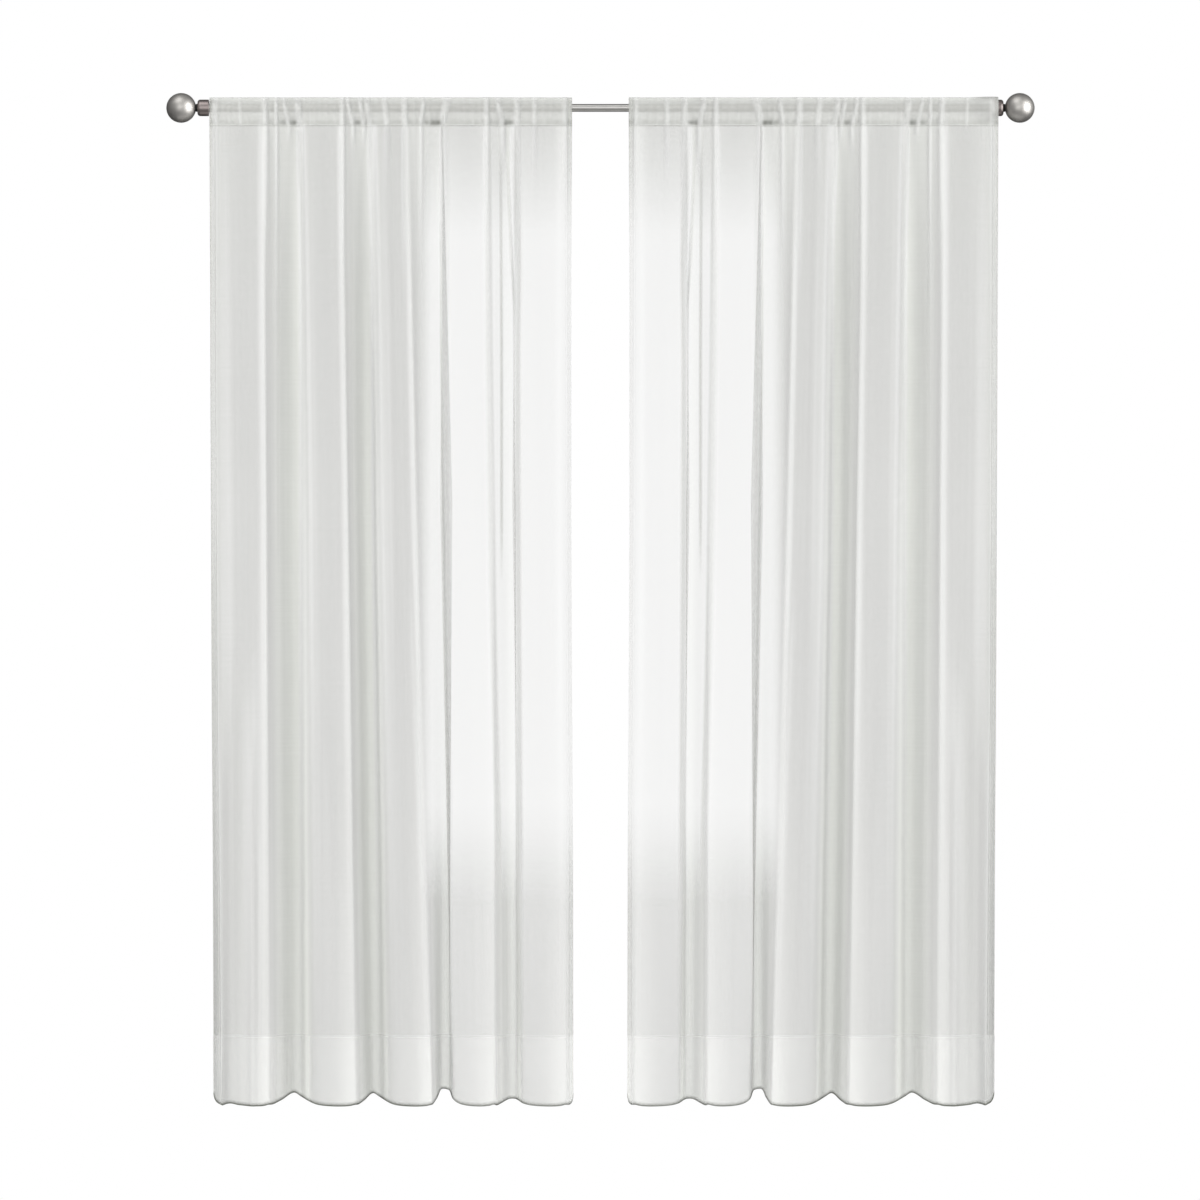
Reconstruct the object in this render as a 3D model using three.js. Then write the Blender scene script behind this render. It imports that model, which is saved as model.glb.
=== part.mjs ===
// A pair of sheer voile curtain panels on one rod with round ball finials, in millimetres.
// X runs along the rod, to the right for someone in the room. Y runs into the wall. Z is up.
// The origin is on the rod's axis, halfway along it.
import * as THREE from 'three';

const { lerp, smoothstep } = THREE.MathUtils;

// Rod and its end fittings
const ROD_RADIUS = 8.25;
const CAP_RADIUS = 17.5;
const CAP_INNER_END = 829;
const CAP_LENGTH = 24;
const CAP_SHOULDER = 6;
const CAP_BORE_DEPTH = 14;
const NECK_RADIUS = 8.5;
const NECK_LENGTH = 4;
const BALL_RADIUS = 31.5;
const GAP = 0.3;
const BALL_FLAT_RADIUS = 7.5;
const BALL_FLAT_TURN = Math.asin(BALL_FLAT_RADIUS / BALL_RADIUS);
const BALL_FLAT_OFFSET = BALL_RADIUS * Math.cos(BALL_FLAT_TURN);
const ROUND_SIDES = 24;
const SHOULDER_STEPS = 4;
const BALL_STEPS = 14;

// Panels: an 84 inch drop, hung a hand's width apart
const PANEL_DROP = 2134;
const HEAD_ABOVE_AXIS = 22;
const ROD_POCKET_DEPTH = 58;
const HEM_DEPTH = 150;
const SHEET = 1.2;
const HEM_SHEET = 2.2;
const SIDE_HEM = 11;
const LEFT_PANEL = { outerEdge: -827.5, width: 767 };
const RIGHT_PANEL = { outerEdge: 842, width: 782 };

const HEM_Z = HEAD_ABOVE_AXIS - PANEL_DROP;
const POCKET_SEAM_Z = HEAD_ABOVE_AXIS - ROD_POCKET_DEPTH;
const HEM_SEAM_Z = HEM_Z + HEM_DEPTH;
const WAIST_Z = -830;

// The folds of the left panel from its outer edge inwards, one row for each fold.
// Each fold has a front face from edge to ridge, then a side that goes back to its valley.
// Places are measured from the outer edge, depths towards the room, each at three heights:
// the pocket seam, the waist and the hem. lift is how far the hem rises at the valley.
const FOLDS = [
  {
    edge: [30, 36, 43], ridge: [117, 118, 122], valley: [183, 183, 185],
    face: [6, 22, 26], crest: [11, 33, 44], back: [-8, -34, -46], lift: 25,
  },
  {
    edge: [203, 213, 220], ridge: [283, 288, 306], valley: [333, 336, 352],
    face: [7, 24, 32], crest: [10, 32, 42], back: [-8, -35, -45], lift: 24,
  },
  {
    edge: [354, 366, 384], ridge: [420, 434, 456], valley: [486, 505, 503],
    face: [5, 22, 36], crest: [9, 32, 42], back: [-7, -36, -48], lift: 32,
  },
  {
    edge: [497, 489, 516], ridge: [588, 601, 603], valley: [628, 638, 641],
    face: [6, 26, 34], crest: [8, 31, 36], back: [-6, -30, -24], lift: 13,
  },
  {
    edge: [652, 642, 664], ridge: [746, 748, 754],
    face: [6, 26, 32], crest: [8, 34, 44],
  },
];
const OUTER_EDGE = { across: [0, 3, 9.5], depth: [2, 6, 24], lift: 15 };
const OUTER_HOLLOW = { across: [16, 18, 24], depth: [3, 10, 8], lift: 2 };
const INNER_EDGE = { across: [767, 766, 771], depth: [3, 20, 30], lift: 15 };
const VALLEY_HALF_WIDTH = [6, 8, 9];
// Between those places, as shares: how far the face has come forward at its edge, where along
// it the flat part starts, where the side is steepest, how deep it is there and how far lifted.
const FOLD_SHAPE = { edgeDepth: 0.75, flatAt: 0.45, sideAt: 0.45, sideDepth: 0.52, sideLift: 0.35 };

// The rod pocket seen from its end, from just above its seam to its top fold: how far its two
// layers stand from its middle, and their height. skin is the outside and lining the inside,
// first where the pocket hangs on the bare rod, then where its mouth slips over an end cap.
// lean is how much of the seam's own fold is still felt there. Both linings clear the metal by 2.
const POCKET_LOOP = [
  { lean: 0.6, skin: [3.4, -26], lining: [2.2, -26], capSkin: [6.8, -26], capLining: [5.6, -26] },
  { lean: 0.15, skin: [9.8, -12], lining: [8.6, -12], capSkin: [19.4, -12], capLining: [18.2, -12] },
  { lean: 0, skin: [12.2, 0], lining: [11, 0], capSkin: [21.2, 0], capLining: [20, 0] },
  { lean: 0, skin: [10.4, 7.5], lining: [8.9, 7.5], capSkin: [20, 7.5], capLining: [18.7, 7.5] },
  { lean: 0.15, skin: [4.2, 13.2], lining: [3.2, 11.2], capSkin: [15.8, 15.6], capLining: [14.6, 14.6] },
];
const TOP_FOLD = { lean: 0.4, skin: [1.3, HEAD_ABOVE_AXIS], capSkin: [4, HEAD_ABOVE_AXIS + 1.5] };
const TUNNEL_TOP = { rod: 12.8, cap: 22 };
const TUNNEL_FOOT = { lean: 0.85, lift: 5 };
const MOUTH_TAPER = 45;
const MOUTH_GRIP = 8;
const PUCKER_SHARE = 0.4;

// Heights of the cloth's rows between the pocket seam and the hem seam
const ROW_DROPS = [0, 26, 74, 160, 270, 390, 520, 660, 794, 980, 1180, 1400, 1640];
const STEPS_PER_GUIDE = 2;
const MIN_STRAIGHTNESS = 0.7;

// A value given at the pocket seam, waist and hem, read at height z. settle = 2 makes most of
// the change happen high up, as a fold opens below its gathers.
function atHeight([top, middle, bottom], z, settle) {
  if (z >= POCKET_SEAM_Z) return top;
  if (z >= WAIST_Z) {
    const down = (POCKET_SEAM_Z - z) / (POCKET_SEAM_Z - WAIST_Z);
    return top + (middle - top) * (1 - (1 - down) ** settle);
  }
  const down = Math.min(1, (WAIST_Z - z) / (WAIST_Z - HEM_Z));
  return middle + (bottom - middle) * down;
}

// The points that one row of cloth passes through, from the outer edge to the inner edge.
function guidesAt(z) {
  const across = (values) => atHeight(values, z, 1);
  const depth = (values) => atHeight(values, z, 2);
  const guides = [];
  const add = (s, out, lift) => guides.push({ s, out, lift });
  for (const edge of [OUTER_EDGE, OUTER_HOLLOW]) add(across(edge.across), depth(edge.depth), edge.lift);
  for (const fold of FOLDS) {
    const edge = across(fold.edge);
    const ridge = across(fold.ridge);
    const face = depth(fold.face);
    const crest = depth(fold.crest);
    add(edge, FOLD_SHAPE.edgeDepth * face, 0);
    add(lerp(edge, ridge, FOLD_SHAPE.flatAt), face, 0);
    add(ridge, crest, 0);
    if (!fold.valley) continue;
    const valley = across(fold.valley);
    const turn = across(VALLEY_HALF_WIDTH);
    const back = depth(fold.back);
    const side = lerp(ridge, valley - turn, FOLD_SHAPE.sideAt);
    add(side, lerp(crest, back, FOLD_SHAPE.sideDepth), FOLD_SHAPE.sideLift * fold.lift);
    add(valley - turn, back, fold.lift);
    add(valley + turn, back, fold.lift);
  }
  add(across(INNER_EDGE.across), depth(INNER_EDGE.depth), INNER_EDGE.lift);
  return guides;
}

// The middle plane of the sheet along one row: points with their directions towards the room,
// which are longer than 1 at a bend, so that the sheet keeps its thickness round it.
function rowPath(z, panel) {
  const widen = panel.width / LEFT_PANEL.width;
  const lifted = z < HEM_SEAM_Z ? (HEM_SEAM_Z - z) / HEM_DEPTH : 0;
  const guides = guidesAt(z).map(({ s, out, lift }) => new THREE.Vector3(s * widen, -out, z + lifted * lift));
  const curve = new THREE.CatmullRomCurve3(guides, false, 'centripetal');
  const columns = (guides.length - 1) * STEPS_PER_GUIDE;
  const points = [];
  for (let i = 0; i <= columns; i += 1) points.push(curve.getPoint(i / columns));
  return points.map((point, i) => {
    const before = points[Math.max(0, i - 1)];
    const after = points[Math.min(columns, i + 1)];
    const along = new THREE.Vector2(after.x - before.x, after.y - before.y).normalize();
    const [from, to] = i < columns ? [point, after] : [before, point];
    const straightness = along.dot(new THREE.Vector2(to.x - from.x, to.y - from.y).normalize());
    const reach = 1 / Math.max(MIN_STRAIGHTNESS, straightness);
    return { point, toRoom: new THREE.Vector2(along.y, -along.x).multiplyScalar(reach) };
  });
}

function sheetThickness(z, s, width) {
  const inSideHem = s < SIDE_HEM || s > width - SIDE_HEM;
  return z < HEM_SEAM_Z || inSideHem ? HEM_SHEET : SHEET;
}

// Every column of a panel as two rings of points, each a closed loop seen from its side: the
// sheet's own outline, up the front, over the pocket and down the back, and the pocket's tunnel.
function panelColumns(panel) {
  const rows = [HEM_Z, (HEM_Z + HEM_SEAM_Z) / 2, HEM_SEAM_Z - HEM_SHEET, HEM_SEAM_Z + SHEET];
  for (const drop of [...ROW_DROPS].reverse()) rows.push(POCKET_SEAM_Z - drop);
  const paths = rows.map((z) => rowPath(z, panel));
  const seam = paths[paths.length - 1];
  const face = (side) => (i) => paths.map((path, row) => {
    const { point, toRoom } = path[i];
    const offset = (side * sheetThickness(rows[row], point.x, panel.width)) / 2;
    return new THREE.Vector3(point.x + toRoom.x * offset, point.y + toRoom.y * offset, point.z);
  });
  const front = face(1);
  const back = face(-1);
  return seam.map(({ point }, i) => {
    const open = mouthOpening(point.x, panel);
    const loopPoint = (side, lean, [rodHalf, rodZ], [capHalf, capZ]) => {
      const pucker = PUCKER_SHARE * Math.max(0, side * point.y) * (rodZ < HEAD_ABOVE_AXIS ? 1 : 0);
      const half = lerp(rodHalf + pucker, capHalf, open);
      return new THREE.Vector3(point.x, lean * point.y + side * half, lerp(rodZ, capZ, open));
    };
    const skins = (side) => [...POCKET_LOOP, TOP_FOLD].map(
      (row) => loopPoint(side, row.lean, row.skin, row.capSkin),
    );
    const linings = (side) => POCKET_LOOP.map((row) => loopPoint(side, row.lean, row.lining, row.capLining));
    const foot = new THREE.Vector3(point.x, TUNNEL_FOOT.lean * point.y, POCKET_SEAM_Z + TUNNEL_FOOT.lift);
    const top = new THREE.Vector3(point.x, 0, lerp(TUNNEL_TOP.rod, TUNNEL_TOP.cap, open));
    return {
      outer: [...front(i), ...skins(-1), ...skins(1).reverse(), ...back(i).reverse()],
      tunnel: [foot, ...linings(-1), top, ...linings(1).reverse()],
    };
  });
}

// How far the pocket is opened out to pass over an end cap, from 0 to 1.
function mouthOpening(s, panel) {
  const capEnd = Math.abs(panel.outerEdge) - CAP_INNER_END;
  if (capEnd <= 0) return 0;
  return smoothstep(capEnd + MOUTH_GRIP + MOUTH_TAPER - s, 0, MOUTH_TAPER);
}

function panelGeometry(panel) {
  const columns = panelColumns(panel);
  const mirrored = panel.outerEdge > 0;
  const positions = [];
  const faces = [];
  for (const { outer, tunnel } of columns) {
    for (const p of [...outer, ...tunnel]) positions.push(mirrored ? -p.x : p.x, p.y, p.z);
  }
  const ring = columns[0].outer.length;
  const stride = ring + columns[0].tunnel.length;
  const addFace = (a, b, c) => faces.push(...(mirrored ? [a, c, b] : [a, b, c]));
  // Front and back halves are split along the same diagonal, so the two skins never cross.
  const skin = (first, count, inwards) => {
    for (let i = 0; i < columns.length - 1; i += 1) {
      for (let k = 0; k < count; k += 1) {
        const a = i * stride + first + k;
        const b = i * stride + first + ((k + 1) % count);
        const [c, d] = [a + stride, b + stride];
        const [p, q, r, s] = k < count / 2 ? [a, c, d, b] : [c, d, b, a];
        if (inwards) {
          addFace(p, r, q);
          addFace(p, s, r);
        } else {
          addFace(p, q, r);
          addFace(p, r, s);
        }
      }
    }
  };
  skin(0, ring, false);
  skin(ring, stride - ring, true);
  // Each side edge is closed by strips: across the sheet, then round the pocket to its top fold.
  const rows = (ring - 2 * (POCKET_LOOP.length + 1)) / 2;
  const loop = POCKET_LOOP.length + 2;
  for (const end of [0, columns.length - 1]) {
    const outerAt = (k) => end * stride + ((k + ring) % ring);
    const tunnelAt = (k) => end * stride + ring + ((k + 2 * loop - 2) % (2 * loop - 2));
    const addEnd = (a, b, c) => (end === 0 ? addFace(a, b, c) : addFace(a, c, b));
    for (let k = 0; k < rows - 1; k += 1) {
      addEnd(outerAt(k), outerAt(k + 1), outerAt(-k - 1));
      addEnd(outerAt(k + 1), outerAt(-k - 2), outerAt(-k - 1));
    }
    addEnd(outerAt(rows - 1), tunnelAt(0), outerAt(-rows));
    for (let k = 0; k < loop - 1; k += 1) {
      const [low, high] = [rows - 1 + k, rows + k];
      addEnd(outerAt(low), outerAt(high), tunnelAt(k));
      addEnd(outerAt(high), tunnelAt(k + 1), tunnelAt(k));
      addEnd(outerAt(-low - 1), tunnelAt(-k), outerAt(-high - 1));
      addEnd(outerAt(-high - 1), tunnelAt(-k), tunnelAt(-k - 1));
    }
    addEnd(outerAt(rows + loop - 2), outerAt(rows + loop - 1), tunnelAt(loop - 1));
  }
  const geometry = new THREE.BufferGeometry();
  geometry.setAttribute('position', new THREE.Float32BufferAttribute(positions, 3));
  geometry.setIndex(faces);
  geometry.computeVertexNormals();
  return geometry;
}

const voile = new THREE.MeshStandardMaterial({
  color: '#dcdddb', roughness: 0.85, metalness: 0, transparent: true, opacity: 0.75,
});
const satinNickel = new THREE.MeshStandardMaterial({ color: '#9a978e', roughness: 0.35, metalness: 1 });
const darkNickel = new THREE.MeshStandardMaterial({ color: '#5f5552', roughness: 0.4, metalness: 1 });
const blackStud = new THREE.MeshStandardMaterial({ color: '#0b0b0b', roughness: 0.6, metalness: 0 });

function named(name, geometry, material) {
  const mesh = new THREE.Mesh(geometry, material);
  mesh.name = name;
  return mesh;
}

// The profile of an end cap: a sleeve with a blind bore for the rod and a rounded outer shoulder.
function capGeometry() {
  const bore = ROD_RADIUS + GAP;
  const profile = [
    new THREE.Vector2(0, CAP_BORE_DEPTH),
    new THREE.Vector2(bore, CAP_BORE_DEPTH),
    new THREE.Vector2(bore, 0),
    new THREE.Vector2(CAP_RADIUS, 0),
  ];
  for (let i = 0; i <= SHOULDER_STEPS; i += 1) {
    const turn = (i / SHOULDER_STEPS) * (Math.PI / 2);
    profile.push(new THREE.Vector2(
      CAP_RADIUS - CAP_SHOULDER + CAP_SHOULDER * Math.cos(turn),
      CAP_LENGTH - CAP_SHOULDER + CAP_SHOULDER * Math.sin(turn),
    ));
  }
  profile.push(new THREE.Vector2(0, CAP_LENGTH));
  return new THREE.LatheGeometry(profile, ROUND_SIDES);
}

// The profile of a ball: round, with a small flat where its stud meets it.
function ballGeometry() {
  const profile = [new THREE.Vector2(0, -BALL_FLAT_OFFSET)];
  for (let i = 0; i <= BALL_STEPS; i += 1) {
    const turn = -Math.PI / 2 + BALL_FLAT_TURN + (i / BALL_STEPS) * (Math.PI - BALL_FLAT_TURN);
    const radius = i === BALL_STEPS ? 0 : BALL_RADIUS * Math.cos(turn);
    profile.push(new THREE.Vector2(radius, BALL_RADIUS * Math.sin(turn)));
  }
  return new THREE.LatheGeometry(profile, ROUND_SIDES);
}

// One end of the rod, built along +Y from the cap's inner end and then laid along the rod.
function endFitting(side) {
  const end = new THREE.Group();
  end.rotation.z = side === 'right' ? -Math.PI / 2 : Math.PI / 2;
  end.position.x = side === 'right' ? CAP_INNER_END : -CAP_INNER_END;
  const cap = named(`collar_${side}`, capGeometry(), darkNickel);
  const neckLength = NECK_LENGTH - 2 * GAP;
  const neckGeometry = new THREE.CylinderGeometry(NECK_RADIUS, NECK_RADIUS, neckLength, ROUND_SIDES);
  const neck = named(`neck_${side}`, neckGeometry, blackStud);
  neck.position.y = CAP_LENGTH + NECK_LENGTH / 2;
  const ball = named(`finial_${side}`, ballGeometry(), satinNickel);
  ball.position.y = CAP_LENGTH + NECK_LENGTH + BALL_FLAT_OFFSET;
  end.add(cap, neck, ball);
  return end;
}

const rodLength = 2 * (CAP_INNER_END + CAP_BORE_DEPTH - GAP);
const rodGeometry = new THREE.CylinderGeometry(ROD_RADIUS, ROD_RADIUS, rodLength, ROUND_SIDES);
const rod = named('rod', rodGeometry, satinNickel);
rod.rotation.z = Math.PI / 2;

const curtainLeft = named('curtain_left', panelGeometry(LEFT_PANEL), voile);
curtainLeft.position.x = LEFT_PANEL.outerEdge;
const curtainRight = named('curtain_right', panelGeometry(RIGHT_PANEL), voile);
curtainRight.position.x = RIGHT_PANEL.outerEdge;

const curtains = new THREE.Group();
curtains.add(rod, endFitting('left'), endFitting('right'), curtainLeft, curtainRight);

export default curtains;
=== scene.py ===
"""A pair of sheer voile curtain panels gathered on one rod with ball finials, in metres."""
import math

import bmesh
import bpy
import numpy as np
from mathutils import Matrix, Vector, noise


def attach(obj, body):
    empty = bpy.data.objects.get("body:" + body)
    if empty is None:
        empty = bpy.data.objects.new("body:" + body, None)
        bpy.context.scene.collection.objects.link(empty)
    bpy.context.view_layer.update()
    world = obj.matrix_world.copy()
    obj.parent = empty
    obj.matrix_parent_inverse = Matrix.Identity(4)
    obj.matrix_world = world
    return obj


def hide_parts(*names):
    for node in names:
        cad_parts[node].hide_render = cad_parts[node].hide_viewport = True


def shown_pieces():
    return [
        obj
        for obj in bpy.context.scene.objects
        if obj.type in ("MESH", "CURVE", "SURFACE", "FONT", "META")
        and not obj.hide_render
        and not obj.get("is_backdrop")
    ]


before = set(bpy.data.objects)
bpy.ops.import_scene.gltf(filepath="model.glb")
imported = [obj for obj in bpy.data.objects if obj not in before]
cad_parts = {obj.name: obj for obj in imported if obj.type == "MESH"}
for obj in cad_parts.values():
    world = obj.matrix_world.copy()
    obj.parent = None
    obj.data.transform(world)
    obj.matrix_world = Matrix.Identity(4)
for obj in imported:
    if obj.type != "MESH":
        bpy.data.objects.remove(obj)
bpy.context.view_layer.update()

# The rod: a straight drawn steel tube, plated in satin nickel. It carries both rod pockets and
# its two ends are plugged into the end caps.
MM = 0.001
ROD_RADIUS = 8.25 * MM
ROD_HALF_LENGTH = 842.7 * MM
ROD_EDGE = 0.6 * MM
ROUND_SIDES = 72


def turned(name, profile, sides=ROUND_SIDES, crease=40):
    """A closed round piece about the rod's axis: profile is its (place along X, radius) from end to end."""
    mesh = bmesh.new()
    rings = []
    for along, radius in profile:
        count = sides if radius > 0 else 1
        turns = [2 * math.pi * k / count for k in range(count)]
        rings.append([mesh.verts.new((along, radius * math.cos(t), radius * math.sin(t))) for t in turns])
    for low, high in zip(rings, rings[1:]):
        for k in range(sides):
            after = k + 1
            corners = [
                low[k % len(low)], low[after % len(low)], high[after % len(high)], high[k % len(high)]]
            mesh.faces.new(list(dict.fromkeys(corners)))
    bmesh.ops.recalc_face_normals(mesh, faces=mesh.faces)
    data = bpy.data.meshes.new(name)
    mesh.to_mesh(data)
    mesh.free()
    data.shade_smooth()
    data.set_sharp_from_angle(angle=math.radians(crease))
    piece = bpy.data.objects.new(name, data)
    bpy.context.scene.collection.objects.link(piece)
    return piece


class Wire:
    """A shader socket that a sum can be written with: each operator adds its Math node."""

    def __init__(self, tree, socket):
        self.tree = tree
        self.socket = socket

    def maths(self, operation, *values, clamp=False):
        node = self.tree.nodes.new("ShaderNodeMath")
        node.operation = operation
        node.use_clamp = clamp
        for place, value in zip(node.inputs, values):
            if isinstance(value, Wire):
                self.tree.links.new(value.socket, place)
            else:
                place.default_value = value
        return Wire(self.tree, node.outputs[0])

    def __add__(self, other):
        return self.maths("ADD", self, other)

    __radd__ = __add__

    def __sub__(self, other):
        return self.maths("SUBTRACT", self, other)

    def __rsub__(self, other):
        return self.maths("SUBTRACT", other, self)

    def __mul__(self, other):
        return self.maths("MULTIPLY", self, other)

    __rmul__ = __mul__

    def __pow__(self, other):
        return self.maths("POWER", self, other)

    def beside(self, name):
        return Wire(self.tree, self.socket.node.outputs[name])

    def sine(self):
        return self.maths("SINE", self)

    def held(self):
        return self.maths("ADD", self, 0.0, clamp=True)


class Finish:
    """A material, world or geometry tree. node() adds a node: its type, settings, then inputs."""

    def __init__(self, owner):
        self.owner = owner
        self.tree = owner
        if hasattr(owner, "use_nodes"):
            owner.use_nodes = True
            self.tree = owner.node_tree
        self.tree.nodes.clear()

    def node(self, kind, settings=None, inputs=None, output=None):
        node = self.tree.nodes.new(kind)
        for key, value in (settings or {}).items():
            setattr(node, key, value)
        for key, value in (inputs or {}).items():
            place = next(s for s in node.inputs if s.enabled and key in (s.identifier, s.name))
            if isinstance(value, Wire):
                self.tree.links.new(value.socket, place)
            else:
                place.default_value = value
        found = [s for s in node.outputs if s.enabled and output in (None, s.identifier, s.name)]
        return Wire(self.tree, found[0]) if found else None

    def object_point(self, scale):
        place = self.node("ShaderNodeTexCoord", output="Object")
        return self.node("ShaderNodeMapping", {"vector_type": "POINT"}, {"Vector": place, "Scale": scale})

    def noise(self, point, detail=3.0, flat=False):
        return self.node("ShaderNodeTexNoise", {"noise_dimensions": "2D" if flat else "3D"}, {
            "Vector": point, "Scale": 1.0, "Detail": detail})

    def blend(self, share, first, second):
        return self.node("ShaderNodeMix", {"data_type": "RGBA"}, {
            "Factor_Float": share, "A_Color": first, "B_Color": second}, output="Result_Color")

    def bump(self, height, distance, strength=1.0):
        return self.node("ShaderNodeBump", inputs={
            "Height": height, "Distance": distance, "Strength": strength})


def satin_metal(name, light, dark, roughness, brushed, smudge_scale=45.0):
    """Plated metal: brushed is how fine its buffing lines are along X, Y and Z, under soft smudges."""
    finish = Finish(bpy.data.materials.new(name))
    lines = finish.noise(finish.object_point(brushed), detail=2.0)
    smudges = finish.noise(finish.object_point((smudge_scale,) * 3), detail=4.0)
    share = (0.35 * lines + 0.65 * smudges).held()
    shader = finish.node("ShaderNodeBsdfPrincipled", inputs={
        "Base Color": finish.blend(share, dark, light),
        "Roughness": roughness - 0.05 + 0.10 * smudges + 0.06 * lines,
        "Normal": finish.bump(lines, 0.02 * MM, 0.6),
        "Metallic": 1.0,
    })
    finish.node("ShaderNodeOutputMaterial", inputs={"Surface": shader})
    return finish.owner


rod = turned("rod_tube", [
    (-ROD_HALF_LENGTH, 0),
    (-ROD_HALF_LENGTH, ROD_RADIUS - ROD_EDGE),
    (-ROD_HALF_LENGTH + ROD_EDGE, ROD_RADIUS),
    (-ROD_HALF_LENGTH / 2, ROD_RADIUS),
    (0, ROD_RADIUS),
    (ROD_HALF_LENGTH / 2, ROD_RADIUS),
    (ROD_HALF_LENGTH - ROD_EDGE, ROD_RADIUS),
    (ROD_HALF_LENGTH, ROD_RADIUS - ROD_EDGE),
    (ROD_HALF_LENGTH, 0),
])
rod.data.materials.append(satin_metal(
    "satin_nickel_tube", (0.62, 0.61, 0.59, 1), (0.50, 0.49, 0.47, 1), 0.30, (6.0, 1400.0, 1400.0)))
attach(rod, "root")
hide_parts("rod")

# The end caps: turned sleeves in darker satin nickel, pushed over the rod's ends. Each has a
# blind bore, a broken edge at its mouth and a rounded shoulder towards its ball.
CAP_INNER_END = 829 * MM
CAP_LENGTH = 24 * MM
CAP_RADIUS = 17.5 * MM
CAP_SHOULDER = 6 * MM
CAP_BORE_RADIUS = 8.55 * MM
CAP_BORE_DEPTH = 14 * MM
CAP_EDGE = 0.8 * MM
SHOULDER_STEPS = 8

cap_metal = satin_metal(
    "dark_satin_nickel", (0.36, 0.32, 0.31, 1), (0.24, 0.20, 0.19, 1), 0.34, (900.0, 30.0, 30.0))
cap_profile = [
    (CAP_BORE_DEPTH, 0),
    (CAP_BORE_DEPTH, CAP_BORE_RADIUS),
    (CAP_EDGE, CAP_BORE_RADIUS),
    (0, CAP_BORE_RADIUS + CAP_EDGE),
    (0, CAP_RADIUS - CAP_EDGE),
    (CAP_EDGE, CAP_RADIUS),
]
for step in range(SHOULDER_STEPS + 1):
    turn = step / SHOULDER_STEPS * math.pi / 2
    cap_profile.append((
        CAP_LENGTH - CAP_SHOULDER + CAP_SHOULDER * math.sin(turn),
        CAP_RADIUS - CAP_SHOULDER + CAP_SHOULDER * math.cos(turn)))
cap_profile.append((CAP_LENGTH, 0))
END_SIDES = {"left": -1, "right": 1}
for side, sign in END_SIDES.items():
    cap = turned(f"end_cap_{side}", [(sign * (CAP_INNER_END + x), r) for x, r in cap_profile])
    cap.data.materials.append(cap_metal)
    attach(cap, "root")
    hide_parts(f"collar_{side}")

# The studs: short black-painted steel necks, screwed into the cap on one side and the ball on the
# other. A shallow groove runs round the middle of each.
STUD_RADIUS = 8.5 * MM
STUD_GAP = 0.3 * MM
STUD_LENGTH = 3.4 * MM
STUD_GROOVE = 0.5 * MM

stud_finish = Finish(bpy.data.materials.new("black_stud"))
stud_grain = stud_finish.noise(stud_finish.object_point((700.0,) * 3))
stud_paint = stud_finish.node("ShaderNodeBsdfPrincipled", inputs={
    "Base Color": stud_finish.blend(stud_grain, (0.008, 0.008, 0.008, 1), (0.03, 0.028, 0.026, 1)),
    "Roughness": 0.40 + 0.25 * stud_grain,
    "Normal": stud_finish.bump(stud_grain, 0.03 * MM),
})
stud_finish.node("ShaderNodeOutputMaterial", inputs={"Surface": stud_paint})
stud_start = CAP_INNER_END + CAP_LENGTH + STUD_GAP
stud_profile = [
    (0, 0),
    (0, STUD_RADIUS - STUD_GROOVE),
    (STUD_GROOVE, STUD_RADIUS),
    (STUD_LENGTH / 2 - STUD_GROOVE, STUD_RADIUS),
    (STUD_LENGTH / 2, STUD_RADIUS - STUD_GROOVE),
    (STUD_LENGTH / 2 + STUD_GROOVE, STUD_RADIUS),
    (STUD_LENGTH - STUD_GROOVE, STUD_RADIUS),
    (STUD_LENGTH, STUD_RADIUS - STUD_GROOVE),
    (STUD_LENGTH, 0),
]
for side, sign in END_SIDES.items():
    stud = turned(f"stud_{side}", [(sign * (stud_start + x), r) for x, r in stud_profile])
    stud.data.materials.append(stud_finish.owner)
    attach(stud, "root")
    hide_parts(f"neck_{side}")

# The finials: hollow balls in satin nickel, buffed round the rod's axis, each with a small flat
# where its stud meets it.
BALL_RADIUS = 31.5 * MM
BALL_FLAT_RADIUS = 7.5 * MM
BALL_STEPS = 40

ball_metal = satin_metal(
    "satin_nickel_ball", (0.62, 0.605, 0.58, 1), (0.48, 0.46, 0.435, 1), 0.44, (500.0, 20.0, 20.0))
flat_turn = math.asin(BALL_FLAT_RADIUS / BALL_RADIUS)
ball_start = CAP_INNER_END + CAP_LENGTH + 4 * MM
ball_profile = [(0, 0)]
for step in range(BALL_STEPS + 1):
    turn = flat_turn + (math.pi - flat_turn) * step / BALL_STEPS
    radius = BALL_RADIUS * math.sin(turn) if step < BALL_STEPS else 0
    ball_profile.append((BALL_RADIUS * (math.cos(flat_turn) - math.cos(turn)), radius))
for side, sign in END_SIDES.items():
    ball = turned(f"ball_{side}", [(sign * (ball_start + x), r) for x, r in ball_profile])
    ball.data.materials.append(ball_metal)
    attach(ball, "root")
    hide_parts(f"finial_{side}")

# The panels: two lengths of white polyester voile, 52 by 84 inches finished, with narrow side
# hems, a deep bottom hem and a rod pocket sewn along the top. They hang gathered on the rod in
# soft uneven folds, and the right one is the left one's mirror image, a little wider.
PANELS = {
    "left": {"edge": -827.5, "width": 767.0, "sign": 1},
    "right": {"edge": 842.0, "width": 782.0, "sign": -1},
}
TABLE_WIDTH = 767.0
HEAD_Z = 22.0
POCKET_SEAM_Z = -36.0
WAIST_Z = -830.0
HEM_SEAM_Z = -1962.0
HEM_Z = -2112.0
SHEET = 0.5
LAYER_STEP = 0.7
SIDE_HEM = 11.0
CAP_END = 829.0

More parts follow.
